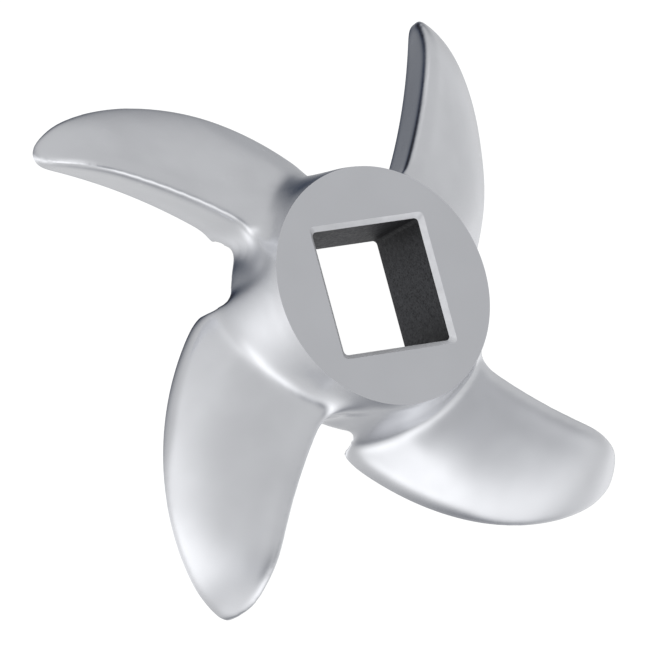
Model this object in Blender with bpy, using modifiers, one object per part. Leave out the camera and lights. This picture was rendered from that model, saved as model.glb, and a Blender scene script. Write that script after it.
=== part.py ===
"""Four-blade mincer knife: one steel casting with a square drive bore.

The knife lies on its cutting plane, z = 0, with the bore's axis along Z and
the flat drive face of the hub on top. All design sizes are in millimetres.

Each blade is designed in its own frame: u runs out from the axis along the
blade, v runs across it, and z is up. The heel is the tall concave side at +v
and the cutting edge is the thin convex side at -v.
"""

import math

import bmesh
import bpy
from mathutils import Matrix, Vector

NAME = "mincer_knife"
MM = 0.001

# Hub
HUB_RADIUS = 14.05
FACE_RADIUS = 13.75
FOOT_RADIUS = 14.4
FACE_HEIGHT = 12.8
RIM_BEVEL_HEIGHT = 1.0
UNDERSIDE_HEIGHT = 3.4
HUB_STEPS = 72

# Square drive bore
BORE_ACROSS_FLATS = 14.2
BORE_CORNER_RADIUS = 0.5
BORE_CHAMFER = 0.55
BORE_CORNER_SEGMENTS = 4

# Relief that keeps the hub and the blade roots off the plate
RELIEF_RADIUS = 14.6
RELIEF_MOUTH_RADIUS = 15.5

# How far a cutter runs on past the surface it cuts
OVERRUN = 2.0

# Blades: layout and tip
BLADE_COUNT = 4
FIRST_BLADE_ANGLE = math.radians(55.4)
ROOT_U = 3.5
TIP_U = 39.6
TIP_V = -1.6
TIP_ROUNDING = 2.6
EDGE_TIP_POWER = 4
HEEL_TIP_POWER = 2

# Cutting edge: an elliptical arc in the cutting plane
EDGE_CENTRE_U = 14.4
EDGE_CENTRE_V = 5.5
EDGE_SEMI_AXIS_U = 27.5
EDGE_SEMI_AXIS_V = 21.0
EDGE_THICKNESS = 0.15
EDGE_ROOT_U = 9.6
EDGE_ROOT_PULL = 0.06

# Heel: a concave arc that runs out into the hub wall
HEEL_LOW_U = 19.25
HEEL_LOW_V = -2.45
HEEL_ARC_RADIUS = 65.5
HEEL_ROOT_RADIUS = 3.9
HEEL_LEAN = math.tan(math.radians(13.0))

# Crest: the top edge of the heel, falling to a rounded nose at the tip
CREST_ROOT_HEIGHT = 10.4
CREST_FALL = 0.125
CREST_ROUNDING = 2.4
CREST_ROUNDING_WIDTH_SHARE = 0.3
CREST_ROUNDING_HEIGHT_SHARE = 0.35
CREST_ROUNDING_FACE_SHARE = 0.6
NOSE_START_U = 30.0
NOSE_POWER = 3.0

# Broad face: straight slope, then a roll down to the cutting edge
ROLL_DROP = 0.20
ROLL_POWER = 5
DISH_DEPTH = 0.10
DISH_PLACE = 0.24
DISH_WIDTH = 0.10

# Wall above the cutting edge, and the flank from it up to the fold at the root
WALL_HEIGHT_TIP = 0.25
WALL_HEIGHT_ROOT = 1.4
WALL_START_U = 29.5
WALL_END_U = 20.5
WALL_SLOPE = 2.7
FLANK_WIDTH = 3.6
FLANK_START_U = 22.5
FLANK_END_U = 13.0
FLANK_SLOPE = 0.9
FOLD_HEIGHT_SHARE = 0.6

# Fillet from the broad face up to the hub wall
FILLET_RADIUS = 15.8
FILLET_HEIGHT = 11.8
FILLET_POWER = 2.0

# Mesh density of a blade; the last outline stops just short of the tip
TIP_GAP = 0.02
ROOT_STATIONS = 16
BODY_STATIONS = 8
TIP_STATIONS = 9
WALL_POINTS = 2
FLANK_POINTS = 3
FACE_POINTS = 14
CORNER_POINTS = 4
HEEL_POINTS = 3


def collection(name):
    group = bpy.data.collections.new(name)
    bpy.context.scene.collection.children.link(group)
    return group


def steel():
    material = bpy.data.materials.new("satin_steel")
    material.use_nodes = True
    shader = material.node_tree.nodes["Principled BSDF"]
    shader.inputs["Base Color"].default_value = (0.56, 0.57, 0.58, 1.0)
    shader.inputs["Metallic"].default_value = 1.0
    shader.inputs["Roughness"].default_value = 0.32
    return material


def place(mesh, name, group):
    thing = bpy.data.objects.new(name, mesh)
    group.objects.link(thing)
    return thing


def heel_arc(u):
    return HEEL_LOW_V + (u - HEEL_LOW_U) ** 2 / (2.0 * HEEL_ARC_RADIUS)


def toward_tip(u, v, power):
    """Bring v in to the tip's own v over the tip's rounding."""
    onward = max(0.0, u - (TIP_U - TIP_ROUNDING)) / TIP_ROUNDING
    return TIP_V + (v - TIP_V) * math.sqrt(1.0 - onward ** power)


def edge_side(u):
    """Return v of the cutting edge, which turns in a little at the root."""
    reach = (u - EDGE_CENTRE_U) / EDGE_SEMI_AXIS_U
    pull = EDGE_ROOT_PULL * max(0.0, EDGE_ROOT_U - u) ** 2
    v = EDGE_CENTRE_V - EDGE_SEMI_AXIS_V * math.sqrt(1.0 - reach * reach) + pull
    return toward_tip(u, v, EDGE_TIP_POWER)


def heel_side(u):
    """Return v of the heel in the cutting plane, which turns out to the hub at the root."""
    root_end = HUB_RADIUS + HEEL_ROOT_RADIUS
    inward = min(max(root_end - u, 0.0), HEEL_ROOT_RADIUS)
    flare = HEEL_ROOT_RADIUS - math.sqrt(HEEL_ROOT_RADIUS ** 2 - inward ** 2)
    return toward_tip(u, heel_arc(max(u, root_end)), HEEL_TIP_POWER) + flare


def crest_height(u):
    reach = max(0.0, u - NOSE_START_U) / (TIP_U - NOSE_START_U)
    nose = 1.0 - reach ** NOSE_POWER
    rise = CREST_ROOT_HEIGHT - CREST_FALL * (u - HUB_RADIUS) - EDGE_THICKNESS
    return EDGE_THICKNESS + rise * nose


def with_fillet(u, v, z):
    """Raise a point of the broad face into the fillet around the hub."""
    share = progress(math.hypot(u, v), FILLET_RADIUS, HUB_RADIUS) ** FILLET_POWER
    return z + (FILLET_HEIGHT - z) * share


def progress(value, start, end):
    """Return how far value has gone from start to end, from 0 to 1."""
    return min(max((value - start) / (end - start), 0.0), 1.0)


def flank(u, edge):
    """Return the top of the edge wall and the fold above it, as (v, z) pairs."""
    tall = progress(u, WALL_START_U, WALL_END_U)
    height = WALL_HEIGHT_TIP + (WALL_HEIGHT_ROOT - WALL_HEIGHT_TIP) * tall * tall * (3.0 - 2.0 * tall)
    height *= progress(u, TIP_U, TIP_U - TIP_ROUNDING)
    wall_top = Vector((edge + height / WALL_SLOPE, EDGE_THICKNESS + height))
    width = FLANK_WIDTH * progress(u, FLANK_START_U, FLANK_END_U)
    return wall_top, wall_top + Vector((width, width * FLANK_SLOPE))


def section(u):
    """Return the blade's closed outline at u, from the cutting edge over the crest."""
    edge = edge_side(u)
    heel = heel_side(u)
    crest = crest_height(u)
    apex_v = heel + crest * HEEL_LEAN
    wall_top, fold = flank(u, edge)
    fold.y = min(fold.y, EDGE_THICKNESS + FOLD_HEIGHT_SHARE * (crest - EDGE_THICKNESS))
    wall_top.y = min(wall_top.y, fold.y)
    points = [(edge, 0.0)]
    foot_edge = Vector((edge, EDGE_THICKNESS))
    for low, high, count in ((foot_edge, wall_top, WALL_POINTS), (wall_top, fold, FLANK_POINTS)):
        for index in range(count):
            v, z = low.lerp(high, index / count)
            points.append((v, with_fillet(u, v, z)))
    top = with_fillet(u, apex_v, crest)
    apex = Vector((heel + top * HEEL_LEAN, top))
    size = min(CREST_ROUNDING, CREST_ROUNDING_WIDTH_SHARE * (apex_v - edge),
               CREST_ROUNDING_HEIGHT_SHARE * top)
    last = min(CREST_ROUNDING_FACE_SHARE, size / max(apex_v - fold.x, size))
    for index in range(FACE_POINTS + 1):
        across = last + (1.0 - last) * math.cos(0.5 * math.pi * index / FACE_POINTS)
        fall = (1.0 - ROLL_DROP) * across + ROLL_DROP * across ** ROLL_POWER
        dish = DISH_DEPTH * math.exp(-((across - DISH_PLACE) / DISH_WIDTH) ** 2)
        dish *= min(1.0, crest / CREST_ROOT_HEIGHT)
        v = apex_v + (fold.x - apex_v) * across
        z = crest + (fold.y - crest) * fall - dish
        points.append((v, with_fillet(u, v, z)))
    face_end = Vector(points[-1])
    foot = Vector((heel, 0.0))
    heel_end = apex + (foot - apex).normalized() * size
    for index in range(1, CORNER_POINTS + 1):
        t = index / CORNER_POINTS
        point = face_end * (1.0 - t) ** 2 + apex * 2.0 * t * (1.0 - t) + heel_end * t ** 2
        points.append(tuple(point))
    for index in range(1, HEEL_POINTS + 1):
        points.append(tuple(heel_end.lerp(foot, index / HEEL_POINTS)))
    return points


def stations():
    """Return the places along the blade where its outline is set."""
    root_end = HUB_RADIUS + HEEL_ROOT_RADIUS
    nose_end = TIP_U - TIP_GAP
    places = [ROOT_U + (root_end - ROOT_U) * 0.5 * (1.0 - math.cos(math.pi * i / ROOT_STATIONS))
              for i in range(ROOT_STATIONS)]
    places += [root_end + (NOSE_START_U - root_end) * i / BODY_STATIONS
               for i in range(BODY_STATIONS)]
    places += [NOSE_START_U + (nose_end - NOSE_START_U) * math.sin(0.5 * math.pi * i / TIP_STATIONS)
               for i in range(TIP_STATIONS + 1)]
    return places


def blade(name, angle, group):
    """Loft one blade through its outlines and turn it to its place."""
    shape = bmesh.new()
    rings = []
    for u in stations():
        rings.append([shape.verts.new((u * MM, v * MM, z * MM)) for v, z in section(u)])
    count = len(rings[0])
    for near, far in zip(rings, rings[1:]):
        for i in range(count):
            j = (i + 1) % count
            shape.faces.new((near[i], near[j], far[j], far[i]))
    shape.faces.new(list(reversed(rings[0])))
    shape.faces.new(rings[-1])
    bmesh.ops.recalc_face_normals(shape, faces=shape.faces)
    bmesh.ops.transform(shape, matrix=Matrix.Rotation(angle, 4, "Z"), verts=shape.verts)
    mesh = bpy.data.meshes.new(name)
    shape.to_mesh(mesh)
    shape.free()
    return place(mesh, name, group)


def turned(name, profile, group):
    """Turn a profile of (radius, height) about Z, top to bottom."""
    mesh = bpy.data.meshes.new(name)
    points = [(radius * MM, 0.0, height * MM) for radius, height in profile]
    mesh.from_pydata(points, [(i, i + 1) for i in range(len(points) - 1)], [])
    thing = place(mesh, name, group)
    screw = thing.modifiers.new("turn", "SCREW")
    screw.steps = HUB_STEPS
    screw.render_steps = HUB_STEPS
    screw.use_merge_vertices = True
    screw.merge_threshold = 0.0001 * MM
    return thing


def square_cutter(name, lower, upper, low_half, high_half, group):
    """Make a square frustum with rounded corners for the drive bore."""
    shape = bmesh.new()
    bmesh.ops.create_cone(shape, cap_ends=True, segments=4,
                          radius1=low_half * math.sqrt(2.0) * MM,
                          radius2=high_half * math.sqrt(2.0) * MM,
                          depth=(upper - lower) * MM)
    bmesh.ops.rotate(shape, matrix=Matrix.Rotation(math.radians(45.0), 3, "Z"), verts=shape.verts)
    bmesh.ops.translate(shape, vec=(0.0, 0.0, 0.5 * (lower + upper) * MM), verts=shape.verts)
    corners = [edge for edge in shape.edges if abs(edge.verts[0].co.z - edge.verts[1].co.z) > MM]
    bmesh.ops.bevel(shape, geom=corners, offset=BORE_CORNER_RADIUS * MM, offset_type="OFFSET",
                    segments=BORE_CORNER_SEGMENTS, profile=0.5, affect="EDGES")
    mesh = bpy.data.meshes.new(name)
    shape.to_mesh(mesh)
    shape.free()
    return place(mesh, name, group)


def combine(target, operation, tool):
    """Add a Boolean modifier that joins or cuts with the tool."""
    boolean = target.modifiers.new(tool.name, "BOOLEAN")
    boolean.operation = operation
    boolean.object = tool
    boolean.solver = "EXACT"
    tool.hide_render = True
    tool.display_type = "WIRE"


def build():
    for thing in list(bpy.data.objects):
        bpy.data.objects.remove(thing)
    parts = collection(NAME)
    tools = collection("cutters")

    knife = turned(NAME, [
        (0.0, FACE_HEIGHT),
        (FACE_RADIUS, FACE_HEIGHT),
        (HUB_RADIUS, FACE_HEIGHT - RIM_BEVEL_HEIGHT),
        (FOOT_RADIUS, UNDERSIDE_HEIGHT),
        (0.0, UNDERSIDE_HEIGHT),
    ], parts)
    knife.data.materials.append(steel())

    for index in range(BLADE_COUNT):
        angle = FIRST_BLADE_ANGLE + index * math.tau / BLADE_COUNT
        combine(knife, "UNION", blade(f"blade_{index + 1}", angle, tools))

    half = 0.5 * BORE_ACROSS_FLATS
    bore = square_cutter("bore_cutter", -OVERRUN, FACE_HEIGHT + OVERRUN, half, half, tools)
    combine(knife, "DIFFERENCE", bore)
    chamfer = square_cutter("chamfer_cutter", FACE_HEIGHT - BORE_CHAMFER, FACE_HEIGHT + OVERRUN,
                            half, half + BORE_CHAMFER + OVERRUN, tools)
    combine(knife, "DIFFERENCE", chamfer)

    relief = turned("relief_cutter", [
        (0.0, UNDERSIDE_HEIGHT),
        (RELIEF_RADIUS, UNDERSIDE_HEIGHT),
        (RELIEF_MOUTH_RADIUS, 0.0),
        (RELIEF_MOUTH_RADIUS, -OVERRUN),
        (0.0, -OVERRUN),
    ], tools)
    combine(knife, "DIFFERENCE", relief)
    return knife


build()
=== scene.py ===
"""Scene for the four-blade mincer knife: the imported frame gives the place, this file gives the looks."""

import math

import bmesh
import bpy
import numpy as np
from mathutils import Matrix, Vector


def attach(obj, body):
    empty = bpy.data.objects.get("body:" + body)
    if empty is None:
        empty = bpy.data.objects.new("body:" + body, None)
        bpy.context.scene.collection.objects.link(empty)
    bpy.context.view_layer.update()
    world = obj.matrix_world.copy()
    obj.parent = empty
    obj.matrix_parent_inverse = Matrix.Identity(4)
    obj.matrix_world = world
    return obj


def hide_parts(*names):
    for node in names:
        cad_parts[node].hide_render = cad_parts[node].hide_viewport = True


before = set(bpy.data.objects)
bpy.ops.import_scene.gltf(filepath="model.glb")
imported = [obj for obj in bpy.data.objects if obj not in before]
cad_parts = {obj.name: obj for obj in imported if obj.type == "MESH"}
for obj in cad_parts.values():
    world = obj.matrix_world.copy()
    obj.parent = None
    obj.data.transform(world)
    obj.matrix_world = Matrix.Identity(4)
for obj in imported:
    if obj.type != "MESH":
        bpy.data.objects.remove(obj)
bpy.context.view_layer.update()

MM = 0.001

# Hub, bore and relief, in millimetres
HUB_RADIUS = 14.05
FACE_RADIUS = 13.75
FOOT_RADIUS = 14.4
FACE_HEIGHT = 12.8
RIM_BEVEL_HEIGHT = 1.0
UNDERSIDE_HEIGHT = 3.4
HUB_STEPS = 160
BORE_ACROSS_FLATS = 14.2
BORE_CORNER_RADIUS = 0.5
BORE_CHAMFER = 0.55
BORE_CORNER_SEGMENTS = 6
RELIEF_RADIUS = 14.6
RELIEF_MOUTH_RADIUS = 15.5
OVERRUN = 2.0

# Blades, in millimetres
BLADE_COUNT = 4
FIRST_BLADE_ANGLE = math.radians(55.4)
ROOT_U = 3.5
TIP_U = 39.6
TIP_V = -1.6
TIP_ROUNDING = 2.6
EDGE_TIP_POWER = 4
HEEL_TIP_POWER = 2
EDGE_CENTRE_U = 14.4
EDGE_CENTRE_V = 5.5
EDGE_SEMI_AXIS_U = 27.5
EDGE_SEMI_AXIS_V = 21.0
EDGE_THICKNESS = 0.15
EDGE_ROOT_U = 9.6
EDGE_ROOT_PULL = 0.06
HEEL_LOW_U = 19.25
HEEL_LOW_V = -2.45
HEEL_ARC_RADIUS = 65.5
HEEL_ROOT_RADIUS = 3.9
HEEL_LEAN = math.tan(math.radians(13.0))
CREST_ROOT_HEIGHT = 10.4
CREST_FALL = 0.125
CREST_ROUNDING = 2.4
CREST_ROUNDING_WIDTH_SHARE = 0.3
CREST_ROUNDING_HEIGHT_SHARE = 0.35
CREST_ROUNDING_FACE_SHARE = 0.6
NOSE_START_U = 30.0
NOSE_POWER = 3.0
ROLL_DROP = 0.20
ROLL_POWER = 5
DISH_DEPTH = 0.10
DISH_PLACE = 0.24
DISH_WIDTH = 0.10

# Wall above the cutting edge, and the flank from it up to the fold at the root
WALL_HEIGHT_TIP = 0.25
WALL_HEIGHT_ROOT = 1.4
WALL_START_U = 29.5
WALL_END_U = 20.5
WALL_SLOPE = 2.7
FLANK_WIDTH = 3.6
FLANK_START_U = 22.5
FLANK_END_U = 13.0
FLANK_SLOPE = 0.9
FOLD_HEIGHT_SHARE = 0.6

# Fillet from the broad face up to the hub wall
FILLET_RADIUS = 15.8
FILLET_HEIGHT = 11.8
FILLET_POWER = 2.0

# Density of the loft; the last outline stops just short of the tip
TIP_GAP = 0.02
ROOT_STATIONS = 36
BODY_STATIONS = 16
TIP_STATIONS = 28
WALL_POINTS = 8
FLANK_POINTS = 10
FACE_POINTS = 40
CORNER_POINTS = 10
HEEL_POINTS = 6

# Blank: stock left on for the last cuts, then voxels and polishing passes
STOCK_BELOW = 3.0
STOCK_ABOVE = 3.0
VOXEL = 0.25
POLISH_PASSES = 30
POLISH_STEP = 0.5
ROOT_POLISH_RADIUS = 19.0
TIP_POLISH_RADIUS = 26.0
TIP_POLISH_SHARE = 0.85
SHARP_ANGLE = math.radians(34.0)


def heel_arc(u):
    return HEEL_LOW_V + (u - HEEL_LOW_U) ** 2 / (2.0 * HEEL_ARC_RADIUS)


def toward_tip(u, v, power):
    onward = max(0.0, u - (TIP_U - TIP_ROUNDING)) / TIP_ROUNDING
    return TIP_V + (v - TIP_V) * math.sqrt(1.0 - onward ** power)


def edge_side(u):
    reach = (u - EDGE_CENTRE_U) / EDGE_SEMI_AXIS_U
    pull = EDGE_ROOT_PULL * max(0.0, EDGE_ROOT_U - u) ** 2
    v = EDGE_CENTRE_V - EDGE_SEMI_AXIS_V * math.sqrt(1.0 - reach * reach) + pull
    return toward_tip(u, v, EDGE_TIP_POWER)


def heel_side(u):
    root_end = HUB_RADIUS + HEEL_ROOT_RADIUS
    inward = min(max(root_end - u, 0.0), HEEL_ROOT_RADIUS)
    flare = HEEL_ROOT_RADIUS - math.sqrt(HEEL_ROOT_RADIUS ** 2 - inward ** 2)
    return toward_tip(u, heel_arc(max(u, root_end)), HEEL_TIP_POWER) + flare


def crest_height(u):
    reach = max(0.0, u - NOSE_START_U) / (TIP_U - NOSE_START_U)
    nose = 1.0 - reach ** NOSE_POWER
    rise = CREST_ROOT_HEIGHT - CREST_FALL * (u - HUB_RADIUS) - EDGE_THICKNESS
    return EDGE_THICKNESS + rise * nose


def with_fillet(u, v, z):
    """Raise a point of the broad face into the fillet around the hub."""
    share = progress(math.hypot(u, v), FILLET_RADIUS, HUB_RADIUS) ** FILLET_POWER
    return z + (FILLET_HEIGHT - z) * share


def progress(value, start, end):
    """Return how far value has gone from start to end, from 0 to 1."""
    return min(max((value - start) / (end - start), 0.0), 1.0)


def flank(u, edge):
    """Return the top of the edge wall and the fold above it, as (v, z) pairs."""
    tall = progress(u, WALL_START_U, WALL_END_U)
    height = WALL_HEIGHT_TIP + (WALL_HEIGHT_ROOT - WALL_HEIGHT_TIP) * tall * tall * (3.0 - 2.0 * tall)
    height *= progress(u, TIP_U, TIP_U - TIP_ROUNDING)
    wall_top = Vector((edge + height / WALL_SLOPE, EDGE_THICKNESS + height))
    width = FLANK_WIDTH * progress(u, FLANK_START_U, FLANK_END_U)
    return wall_top, wall_top + Vector((width, width * FLANK_SLOPE))


def section(u):
    """Return the blade's outline at u, with stock below the cutting plane."""
    edge = edge_side(u)
    heel = heel_side(u)
    crest = crest_height(u)
    apex_v = heel + crest * HEEL_LEAN
    wall_top, fold = flank(u, edge)
    fold.y = min(fold.y, EDGE_THICKNESS + FOLD_HEIGHT_SHARE * (crest - EDGE_THICKNESS))
    wall_top.y = min(wall_top.y, fold.y)
    points = [(edge, -STOCK_BELOW), (edge, -0.5 * STOCK_BELOW), (edge, 0.0)]
    foot_edge = Vector((edge, EDGE_THICKNESS))
    for low, high, count in ((foot_edge, wall_top, WALL_POINTS), (wall_top, fold, FLANK_POINTS)):
        for index in range(count):
            v, z = low.lerp(high, index / count)
            points.append((v, with_fillet(u, v, z)))
    top = with_fillet(u, apex_v, crest)
    apex = Vector((heel + top * HEEL_LEAN, top))
    size = min(CREST_ROUNDING, CREST_ROUNDING_WIDTH_SHARE * (apex_v - edge),
               CREST_ROUNDING_HEIGHT_SHARE * top)
    last = min(CREST_ROUNDING_FACE_SHARE, size / max(apex_v - fold.x, size))
    for index in range(FACE_POINTS + 1):
        across = last + (1.0 - last) * math.cos(0.5 * math.pi * index / FACE_POINTS)
        fall = (1.0 - ROLL_DROP) * across + ROLL_DROP * across ** ROLL_POWER
        dish = DISH_DEPTH * math.exp(-((across - DISH_PLACE) / DISH_WIDTH) ** 2)
        dish *= min(1.0, crest / CREST_ROOT_HEIGHT)
        v = apex_v + (fold.x - apex_v) * across
        z = crest + (fold.y - crest) * fall - dish
        points.append((v, with_fillet(u, v, z)))
    face_end = Vector(points[-1])
    foot = Vector((heel, 0.0))
    heel_end = apex + (foot - apex).normalized() * size
    for index in range(1, CORNER_POINTS + 1):
        t = index / CORNER_POINTS
        point = face_end * (1.0 - t) ** 2 + apex * 2.0 * t * (1.0 - t) + heel_end * t ** 2
        points.append(tuple(point))
    for index in range(1, HEEL_POINTS + 1):
        points.append(tuple(heel_end.lerp(foot, index / HEEL_POINTS)))
    points += [(heel, -0.5 * STOCK_BELOW), (heel, -STOCK_BELOW)]
    return points


def stations():
    root_end = HUB_RADIUS + HEEL_ROOT_RADIUS
    nose_end = TIP_U - TIP_GAP
    places = [ROOT_U + (root_end - ROOT_U) * 0.5 * (1.0 - math.cos(math.pi * i / ROOT_STATIONS))
              for i in range(ROOT_STATIONS)]
    places += [root_end + (NOSE_START_U - root_end) * i / BODY_STATIONS
               for i in range(BODY_STATIONS)]
    places += [NOSE_START_U + (nose_end - NOSE_START_U) * math.sin(0.5 * math.pi * i / TIP_STATIONS)
               for i in range(TIP_STATIONS + 1)]
    return places


def add_blade(shape, angle):
    """Loft one blade into the blank."""
    rings = []
    for u in stations():
        rings.append([shape.verts.new((u * MM, v * MM, z * MM)) for v, z in section(u)])
    count = len(rings[0])
    for near, far in zip(rings, rings[1:]):
        for i in range(count):
            j = (i + 1) % count
            shape.faces.new((near[i], near[j], far[j], far[i]))
    shape.faces.new(list(reversed(rings[0])))
    shape.faces.new(rings[-1])
    made = [vert for ring in rings for vert in ring]
    bmesh.ops.transform(shape, matrix=Matrix.Rotation(angle, 4, "Z"), verts=made)


def add_turned(shape, profile, steps):
    """Turn a closed profile of (radius, height) about Z; points on the axis become one vertex."""
    rings = []
    for radius, height in profile:
        if radius == 0.0:
            rings.append([shape.verts.new((0.0, 0.0, height * MM))])
            continue
        ring = []
        for step in range(steps):
            turn = math.tau * step / steps
            ring.append(shape.verts.new((radius * math.cos(turn) * MM,
                                         radius * math.sin(turn) * MM, height * MM)))
        rings.append(ring)
    for upper, lower in zip(rings, rings[1:]):
        for i in range(steps):
            j = (i + 1) % steps
            corners = [upper[i % len(upper)], upper[j % len(upper)],
                       lower[j % len(lower)], lower[i % len(lower)]]
            shape.faces.new(list(dict.fromkeys(corners)))


def add_square(shape, lower, upper, low_half, high_half):
    """Add a square frustum with rounded upright corners."""
    made = bmesh.ops.create_cone(shape, cap_ends=True, segments=4,
                                 radius1=low_half * math.sqrt(2.0) * MM,
                                 radius2=high_half * math.sqrt(2.0) * MM,
                                 depth=(upper - lower) * MM)["verts"]
    bmesh.ops.rotate(shape, matrix=Matrix.Rotation(math.radians(45.0), 3, "Z"), verts=made)
    bmesh.ops.translate(shape, vec=(0.0, 0.0, 0.5 * (lower + upper) * MM), verts=made)
    upright = [edge for edge in shape.edges if abs(edge.verts[0].co.z - edge.verts[1].co.z) > MM]
    bmesh.ops.bevel(shape, geom=upright, offset=BORE_CORNER_RADIUS * MM, offset_type="OFFSET",
                    segments=BORE_CORNER_SEGMENTS, profile=0.5, affect="EDGES")


def to_object(shape, name):
    bmesh.ops.recalc_face_normals(shape, faces=shape.faces)
    mesh = bpy.data.meshes.new(name)
    shape.to_mesh(mesh)
    shape.free()
    thing = bpy.data.objects.new(name, mesh)
    bpy.context.scene.collection.objects.link(thing)
    return thing


def apply_modifiers(thing):
    """Replace the object's mesh by its evaluated mesh."""
    graph = bpy.context.evaluated_depsgraph_get()
    mesh = bpy.data.meshes.new_from_object(thing.evaluated_get(graph))
    old = thing.data
    thing.modifiers.clear()
    thing.data = mesh
    bpy.data.meshes.remove(old)


def cut(thing, tool):
    boolean = thing.modifiers.new(tool.name, "BOOLEAN")
    boolean.operation = "DIFFERENCE"
    boolean.object = tool
    boolean.solver = "EXACT"
    apply_modifiers(thing)
    bpy.data.objects.remove(tool)


def skin(thing):
    """Rebuild the surface as one skin of even voxels."""
    remesh = thing.modifiers.new("skin", "REMESH")
    remesh.mode = "VOXEL"
    remesh.voxel_size = VOXEL * MM
    remesh.adaptivity = 0.0
    apply_modifiers(thing)


def make_blank():
    """Join the hub and the blades and hollow the underside."""
    shape = bmesh.new()
    slope = (HUB_RADIUS - FACE_RADIUS) / RIM_BEVEL_HEIGHT
    top = FACE_HEIGHT + STOCK_ABOVE
    add_turned(shape, [
        (0.0, top),
        (FACE_RADIUS - slope * STOCK_ABOVE, top),
        (FACE_RADIUS, FACE_HEIGHT),
        (HUB_RADIUS, FACE_HEIGHT - RIM_BEVEL_HEIGHT),
        (FOOT_RADIUS, UNDERSIDE_HEIGHT),
        (FOOT_RADIUS, -STOCK_BELOW),
        (0.0, -STOCK_BELOW),
    ], HUB_STEPS)
    for index in range(BLADE_COUNT):
        add_blade(shape, FIRST_BLADE_ANGLE + index * math.tau / BLADE_COUNT)
    blank = to_object(shape, "knife_steel")
    skin(blank)
    shape = bmesh.new()
    add_turned(shape, [
        (0.0, UNDERSIDE_HEIGHT),
        (RELIEF_RADIUS, UNDERSIDE_HEIGHT),
        (RELIEF_MOUTH_RADIUS, 0.0),
        (RELIEF_MOUTH_RADIUS, -2.0 * STOCK_BELOW),
        (0.0, -2.0 * STOCK_BELOW),
    ], HUB_STEPS)
    cut(blank, to_object(shape, "relief_tool"))
    skin(blank)
    return blank


def polish(thing):
    """Soften the casting: most at the blade roots, a little less toward the tips."""
    mesh = thing.data
    count = len(mesh.vertices)
    places = np.empty(count * 3)
    mesh.vertices.foreach_get("co", places)
    places = places.reshape(-1, 3)
    ends = np.empty(len(mesh.edges) * 2, np.int64)
    mesh.edges.foreach_get("vertices", ends)
    ends = ends.reshape(-1, 2)
    one_way = np.concatenate([ends[:, 0], ends[:, 1]])
    other_way = np.concatenate([ends[:, 1], ends[:, 0]])
    neighbours = np.bincount(one_way, minlength=count)[:, None]
    radius = np.hypot(places[:, 0], places[:, 1]) / MM
    outward = np.clip((radius - ROOT_POLISH_RADIUS) / (TIP_POLISH_RADIUS - ROOT_POLISH_RADIUS), 0.0, 1.0)
    share = 1.0 - (1.0 - TIP_POLISH_SHARE) * outward * outward * (3.0 - 2.0 * outward)
    step = (POLISH_STEP * share)[:, None]
    for _ in range(POLISH_PASSES):
        total = np.stack([np.bincount(one_way, weights=places[other_way, axis], minlength=count)
                          for axis in range(3)], axis=1)
        places = places + step * (total / neighbours - places)
    mesh.vertices.foreach_set("co", places.ravel())
    mesh.update()


def trim(thing):
    """Grind the cutting plane and the drive face flat."""
    shape = bmesh.new()
    shape.from_mesh(thing.data)
    for height, direction in ((0.0, -1.0), (FACE_HEIGHT, 1.0)):
        everything = list(shape.verts) + list(shape.edges) + list(shape.faces)
        result = bmesh.ops.bisect_plane(shape, geom=everything, dist=1e-7,
                                        plane_co=(0.0, 0.0, height * MM),
                                        plane_no=(0.0, 0.0, direction), clear_outer=True)
        rim = [item for item in result["geom_cut"] if isinstance(item, bmesh.types.BMEdge)]
        bmesh.ops.holes_fill(shape, edges=rim, sides=0)
    bmesh.ops.recalc_face_normals(shape, faces=shape.faces)
    shape.to_mesh(thing.data)
    shape.free()


def machine(thing):
    """Cut the square bore and its chamfer."""
    half = 0.5 * BORE_ACROSS_FLATS
    shape = bmesh.new()
    add_square(shape, -OVERRUN, FACE_HEIGHT + OVERRUN, half, half)
    cut(thing, to_object(shape, "bore_tool"))
    shape = bmesh.new()
    add_square(shape, FACE_HEIGHT - BORE_CHAMFER, FACE_HEIGHT + OVERRUN,
               half, half + BORE_CHAMFER + OVERRUN)
    cut(thing, to_object(shape, "chamfer_tool"))


knife = make_blank()
polish(knife)
trim(knife)
machine(knife)
knife.data.shade_smooth()
knife.data.set_sharp_from_angle(angle=SHARP_ANGLE)

# Finishes: colours, linear
STEEL_COLOUR = (0.66, 0.667, 0.69)
GROUND_COLOUR = (0.60, 0.607, 0.63)
CHAMFER_COLOUR = (0.70, 0.705, 0.725)
SCALE_COLOUR = (0.034, 0.035, 0.040)
SCALE_PIT_COLOUR = (0.006, 0.006, 0.008)

# Where painted shade starts to darken the bore's skin toward its corners, in millimetres from the bore's
# middle planes
CORNER_SHADE_START = 2.5

# How a face's finish is told: its slope (z of its normal) and how near a cut it lies, in millimetres
BORE_REACH = 0.05
PLANE_REACH = 0.02
FLAT_SLOPE = 0.999
UP_SLOPE = 0.95
CHAMFER_SLOPE = 0.3


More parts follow.
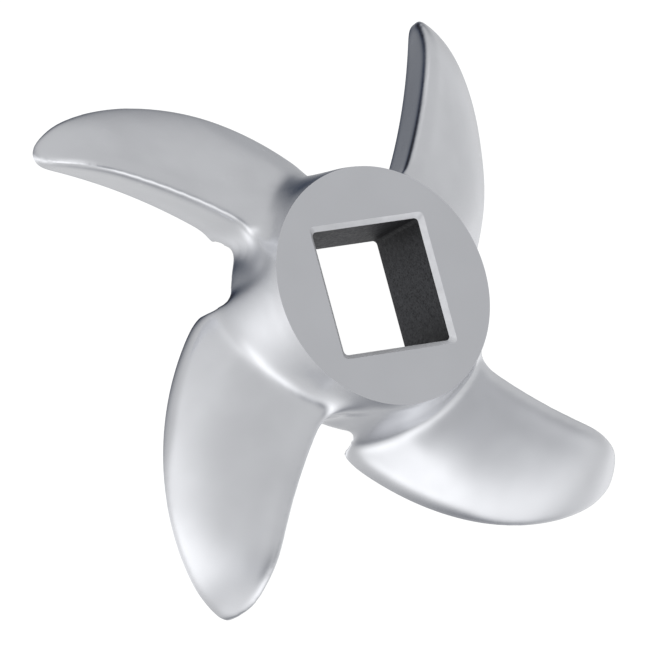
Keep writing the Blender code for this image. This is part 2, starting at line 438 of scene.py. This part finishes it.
class Finish:
    """A material under construction: a Principled shader and helpers that add nodes to it."""

    def __init__(self, name, metallic, roughness):
        self.material = bpy.data.materials.new(name)
        self.material.use_nodes = True
        self.nodes = self.material.node_tree.nodes
        self.links = self.material.node_tree.links
        self.shader = self.nodes["Principled BSDF"]
        self.shader.inputs["Metallic"].default_value = metallic
        self.shader.inputs["Roughness"].default_value = roughness
        self.place = self.nodes.new("ShaderNodeTexCoord").outputs["Object"]

    def noise(self, grain, detail=3.0, stretch=(1.0, 1.0, 1.0), turn=0.0):
        """Noise whose features are about grain millimetres across."""
        mapping = self.nodes.new("ShaderNodeMapping")
        mapping.inputs["Scale"].default_value = stretch
        mapping.inputs["Rotation"].default_value = (0.0, 0.0, turn)
        noise = self.nodes.new("ShaderNodeTexNoise")
        noise.inputs["Scale"].default_value = 1.0 / (grain * MM)
        noise.inputs["Detail"].default_value = detail
        self.links.new(self.place, mapping.inputs["Vector"])
        self.links.new(mapping.outputs["Vector"], noise.inputs["Vector"])
        return noise.outputs["Fac"]

    def ramp(self, source, low, high, from_low=0.35, from_high=0.65):
        """Map a value between two colours or two grey levels."""
        ramp = self.nodes.new("ShaderNodeValToRGB")
        ramp.color_ramp.elements[0].position = from_low
        ramp.color_ramp.elements[1].position = from_high
        ramp.color_ramp.elements[0].color = (*low, 1.0)
        ramp.color_ramp.elements[1].color = (*high, 1.0)
        self.links.new(source, ramp.inputs["Fac"])
        return ramp.outputs["Color"]

    def mix(self, share, first, second):
        mix = self.nodes.new("ShaderNodeMix")
        mix.data_type = "RGBA"
        self.links.new(share, mix.inputs["Factor"])
        self.links.new(first, mix.inputs["A"])
        self.links.new(second, mix.inputs["B"])
        return mix.outputs["Result"]

    def level(self, source, low, high, from_low=0.3, from_high=0.7):
        """Map a value to a range of numbers."""
        scale = self.nodes.new("ShaderNodeMapRange")
        scale.inputs["From Min"].default_value = from_low
        scale.inputs["From Max"].default_value = from_high
        scale.inputs["To Min"].default_value = low
        scale.inputs["To Max"].default_value = high
        self.links.new(source, scale.inputs["Value"])
        return scale.outputs["Result"]

    def bump(self, height, depth, strength=1.0, under=None):
        """Raise the surface by depth millimetres where height is 1."""
        bump = self.nodes.new("ShaderNodeBump")
        bump.inputs["Strength"].default_value = strength
        bump.inputs["Distance"].default_value = depth * MM
        self.links.new(height, bump.inputs["Height"])
        if under is not None:
            self.links.new(under, bump.inputs["Normal"])
        return bump.outputs["Normal"]

    def use(self, socket, source):
        self.links.new(source, self.shader.inputs[socket])


def shade(colour, factor):
    return tuple(min(1.0, channel * factor) for channel in colour)


def satin_steel():
    """Hand-polished cast stainless steel, brightest where it wears."""
    finish = Finish("satin_steel", 1.0, 0.21)
    cloud = finish.noise(grain=7.0, detail=2.0)
    body = finish.ramp(cloud, shade(STEEL_COLOUR, 0.965), shade(STEEL_COLOUR, 1.035))
    worn = finish.ramp(cloud, shade(STEEL_COLOUR, 1.06), shade(STEEL_COLOUR, 1.12))
    sharp = finish.nodes.new("ShaderNodeNewGeometry").outputs["Pointiness"]
    wear = finish.level(sharp, low=0.0, high=1.0, from_low=0.60, from_high=0.72)
    finish.use("Base Color", finish.mix(wear, body, worn))
    finish.use("Roughness", finish.level(finish.noise(grain=2.2, detail=4.0), low=0.185, high=0.235))
    waves = finish.bump(finish.noise(grain=5.0, detail=1.0), depth=0.006, strength=0.5)
    finish.use("Normal", finish.bump(finish.noise(grain=0.16, detail=2.0), depth=0.0007,
                                     strength=0.5, under=waves))
    return finish.material


def ground_steel():
    """Flat ground face with fine straight marks."""
    finish = Finish("ground_steel", 1.0, 0.40)
    marks = finish.noise(grain=0.9, detail=5.0, stretch=(1.0, 14.0, 1.0), turn=math.radians(28.0))
    finish.use("Base Color", finish.ramp(finish.noise(grain=9.0, detail=2.0),
                                         shade(GROUND_COLOUR, 0.985), shade(GROUND_COLOUR, 1.015)))
    finish.use("Roughness", finish.level(marks, low=0.38, high=0.43))
    finish.use("Normal", finish.bump(marks, depth=0.0010, strength=0.5))
    return finish.material


def chamfer_steel():
    """Fresh machined chamfer around the bore."""
    finish = Finish("chamfer_steel", 1.0, 0.5)
    finish.use("Base Color", finish.ramp(finish.noise(grain=1.5, detail=3.0),
                                         shade(CHAMFER_COLOUR, 0.96), shade(CHAMFER_COLOUR, 1.04)))
    finish.use("Roughness", finish.level(finish.noise(grain=0.3, detail=3.0), low=0.48, high=0.56))
    finish.use("Normal", finish.bump(finish.noise(grain=0.12, detail=2.0), depth=0.002, strength=0.5))
    return finish.material


def cast_scale():
    """Dark as-cast skin left in the bore, with a gritty speckle and painted shade that darkens it toward the
    corners.
    """
    finish = Finish("cast_scale", 0.35, 0.55)
    aside = finish.nodes.new("ShaderNodeVectorMath")
    aside.operation = "ABSOLUTE"
    finish.links.new(finish.place, aside.inputs[0])
    apart = finish.nodes.new("ShaderNodeSeparateXYZ")
    finish.links.new(aside.outputs["Vector"], apart.inputs["Vector"])
    nearer = finish.nodes.new("ShaderNodeMath")
    nearer.operation = "MINIMUM"
    finish.links.new(apart.outputs["X"], nearer.inputs[0])
    finish.links.new(apart.outputs["Y"], nearer.inputs[1])
    # Share of painted shade: 0 in the middle of each bore wall, rising to 1 at its corners
    corner = finish.level(nearer.outputs["Value"], low=0.0, high=1.0,
                          from_low=CORNER_SHADE_START * MM, from_high=0.5 * BORE_ACROSS_FLATS * MM)
    pits = finish.noise(grain=0.20, detail=3.0)
    skin = finish.ramp(pits, SCALE_PIT_COLOUR, SCALE_COLOUR, from_low=0.38, from_high=0.47)
    # The darker copy of the skin is painted shade for the bore's corners, not a thicker skin
    painted_corner_shade = finish.ramp(pits, SCALE_PIT_COLOUR, shade(SCALE_COLOUR, 0.35), from_low=0.38, from_high=0.55)
    finish.use("Base Color", finish.mix(corner, skin, painted_corner_shade))
    finish.use("Roughness", finish.level(finish.noise(grain=0.5, detail=3.0), low=0.50, high=0.66))
    finish.use("Normal", finish.bump(pits, depth=0.05, strength=0.8))
    return finish.material


FINISHES = (satin_steel, ground_steel, chamfer_steel, cast_scale)
SATIN, GROUND, CHAMFER, SCALE = range(len(FINISHES))


def finish_faces(thing):
    """Give each face the finish of the tool that made it."""
    mesh = thing.data
    mesh.materials.clear()
    for make in FINISHES:
        mesh.materials.append(make())
    half = 0.5 * BORE_ACROSS_FLATS
    reach = (half + BORE_CHAMFER + BORE_REACH) * MM
    for face in mesh.polygons:
        centre = face.center
        slot = SATIN
        if abs(centre.x) < reach and abs(centre.y) < reach and face.normal.z < UP_SLOPE:
            slot = CHAMFER if face.normal.z > CHAMFER_SLOPE else SCALE
        elif face.normal.z > FLAT_SLOPE and centre.z > (FACE_HEIGHT - PLANE_REACH) * MM:
            slot = GROUND
        elif face.normal.z < -FLAT_SLOPE and centre.z < (UNDERSIDE_HEIGHT + PLANE_REACH) * MM:
            slot = GROUND
        face.material_index = slot


finish_faces(knife)

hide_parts("mincer_knife")
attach(knife, "root")

# Camera: the photograph's direction, roll, aim and lens (lens and sensor in millimetres, the rest in metres)
CAMERA_AZIMUTH = math.radians(-163.1)
CAMERA_ELEVATION = math.radians(54.38)
CAMERA_ROLL = math.radians(61.03)
CAMERA_DISTANCE = 1.375
CAMERA_LENS = 685.4
CAMERA_SENSOR = 36.0
CAMERA_NEAR = 0.05
CAMERA_FAR = 20.0
AIM = Vector((-0.05, -0.77, -0.19)) * MM


def make_camera():
    back = Vector((math.cos(CAMERA_AZIMUTH) * math.cos(CAMERA_ELEVATION),
                   math.sin(CAMERA_AZIMUTH) * math.cos(CAMERA_ELEVATION),
                   math.sin(CAMERA_ELEVATION)))
    level = Vector((0.0, 0.0, 1.0)).cross(back).normalized()
    above = back.cross(level)
    right = level * math.cos(CAMERA_ROLL) + above * math.sin(CAMERA_ROLL)
    up = back.cross(right)
    data = bpy.data.cameras.new("camera")
    data.lens = CAMERA_LENS
    data.sensor_width = CAMERA_SENSOR
    data.clip_start = CAMERA_NEAR
    data.clip_end = CAMERA_FAR
    camera = bpy.data.objects.new("camera", data)
    camera.matrix_world = Matrix.Translation(AIM + back * CAMERA_DISTANCE) @ Matrix(
        (right, up, back)).transposed().to_4x4()
    bpy.context.scene.collection.objects.link(camera)
    bpy.context.scene.camera = camera


make_camera()

# Studio: a soft dome with boxes and dark flags. Each has a name, an azimuth and an elevation in
# degrees, a strength and a tint; flags take light away. The directions and the dome's level come
# from a scratch program's least-squares fit to the photo's brightness, rounded. The strengths are
# that fit's too, raised by 7 to 33 percent. The names and tints were chosen.
DOME_LEVEL = 0.73
DOME_TINT = (0.995, 1.0, 1.01)
WHITE = (1.0, 1.0, 1.0)
COOL_SHADE = (1.0, 0.985, 0.95)
BOX_SHARPNESS = 14.0
SOFT_BOXES = (
    ("low left box", 180.0, -50.0, 0.80, WHITE),
    ("left side box", 180.0, 0.0, 0.70, WHITE),
    ("key box", -105.0, 25.0, 0.70, WHITE),
    ("right key box", -75.0, 25.0, 0.46, WHITE),
    ("front box", -69.0, 0.0, 0.38, WHITE),
    ("left front box", -165.0, 25.0, 0.48, WHITE),
    ("left back box", 165.0, 25.0, 0.26, WHITE),
    ("back box", 135.0, 25.0, 0.30, WHITE),
    ("low right box", -15.0, -25.0, 0.34, WHITE),
    ("low flag, right", 60.0, -50.0, -0.52, COOL_SHADE),
    ("low flag, back", 100.0, -50.0, -0.56, COOL_SHADE),
    ("low flag, left", 140.0, -50.0, -0.28, COOL_SHADE),
    ("low flag, front", -75.0, -25.0, -0.48, COOL_SHADE),
    ("side flag, right", 45.0, -25.0, -0.24, COOL_SHADE),
    ("top flag, left", -140.0, 50.0, -0.38, COOL_SHADE),
    ("top flag, front", -60.0, 50.0, -0.24, COOL_SHADE),
)
BACKDROP_LEVEL = 1.0
DARKEST_LEVEL = 0.02


def make_studio():
    """Light the scene from all round with a soft dome, soft boxes and flags."""
    world = bpy.data.worlds.new("studio")
    world.use_nodes = True
    tree = world.node_tree
    background = tree.nodes["Background"]
    direction = tree.nodes.new("ShaderNodeTexCoord").outputs["Generated"]
    total = None
    for name, azimuth, elevation, strength, tint in SOFT_BOXES:
        turn, lift = math.radians(azimuth), math.radians(elevation)
        towards = tree.nodes.new("ShaderNodeVectorMath")
        towards.label = name
        towards.operation = "DOT_PRODUCT"
        towards.inputs[1].default_value = (math.cos(turn) * math.cos(lift),
                                           math.sin(turn) * math.cos(lift), math.sin(lift))
        tree.links.new(direction, towards.inputs[0])
        falloff = tree.nodes.new("ShaderNodeMath")
        falloff.operation = "MULTIPLY_ADD"
        falloff.inputs[1].default_value = BOX_SHARPNESS
        falloff.inputs[2].default_value = -BOX_SHARPNESS
        tree.links.new(towards.outputs["Value"], falloff.inputs[0])
        glow = tree.nodes.new("ShaderNodeMath")
        glow.operation = "EXPONENT"
        tree.links.new(falloff.outputs["Value"], glow.inputs[0])
        box = tree.nodes.new("ShaderNodeVectorMath")
        box.operation = "MULTIPLY_ADD"
        box.inputs[1].default_value = tuple(strength * channel for channel in tint)
        if total is None:
            box.inputs[2].default_value = tuple(DOME_LEVEL * channel for channel in DOME_TINT)
        else:
            tree.links.new(total, box.inputs[2])
        tree.links.new(glow.outputs["Value"], box.inputs[0])
        total = box.outputs["Vector"]
    darkest = tree.nodes.new("ShaderNodeVectorMath")
    darkest.operation = "MAXIMUM"
    darkest.inputs[1].default_value = (DARKEST_LEVEL, DARKEST_LEVEL, DARKEST_LEVEL)
    tree.links.new(total, darkest.inputs[0])
    seen = tree.nodes.new("ShaderNodeLightPath").outputs["Is Camera Ray"]
    backdrop = tree.nodes.new("ShaderNodeMix")
    backdrop.data_type = "RGBA"
    backdrop.inputs["B"].default_value = (BACKDROP_LEVEL, BACKDROP_LEVEL, BACKDROP_LEVEL, 1.0)
    tree.links.new(seen, backdrop.inputs["Factor"])
    tree.links.new(darkest.outputs["Vector"], backdrop.inputs["A"])
    tree.links.new(backdrop.outputs["Result"], background.inputs["Color"])
    bpy.context.scene.world = world


# Floor: half its side in metres, its own glow and its colour
FLOOR_HALF = 0.6
FLOOR_GLOW = 0.98
FLOOR_COLOUR = (0.12, 0.12, 0.12, 1.0)


def make_floor():
    """A plain white studio floor with a glow of its own, so that it shows almost no shadow."""
    shape = bmesh.new()
    bmesh.ops.create_grid(shape, x_segments=8, y_segments=8, size=FLOOR_HALF)
    floor = to_object(shape, "floor")
    material = bpy.data.materials.new("floor_white")
    material.use_nodes = True
    shader = material.node_tree.nodes["Principled BSDF"]
    shader.inputs["Base Color"].default_value = FLOOR_COLOUR
    shader.inputs["Roughness"].default_value = 0.9
    shader.inputs["Specular IOR Level"].default_value = 0.0
    shader.inputs["Emission Color"].default_value = (1.0, 1.0, 1.0, 1.0)
    shader.inputs["Emission Strength"].default_value = FLOOR_GLOW
    floor.data.materials.append(material)
    floor.visible_glossy = False
    floor.visible_diffuse = False
    floor.visible_shadow = False


make_studio()
make_floor()
bpy.context.scene.view_settings.view_transform = "Standard"
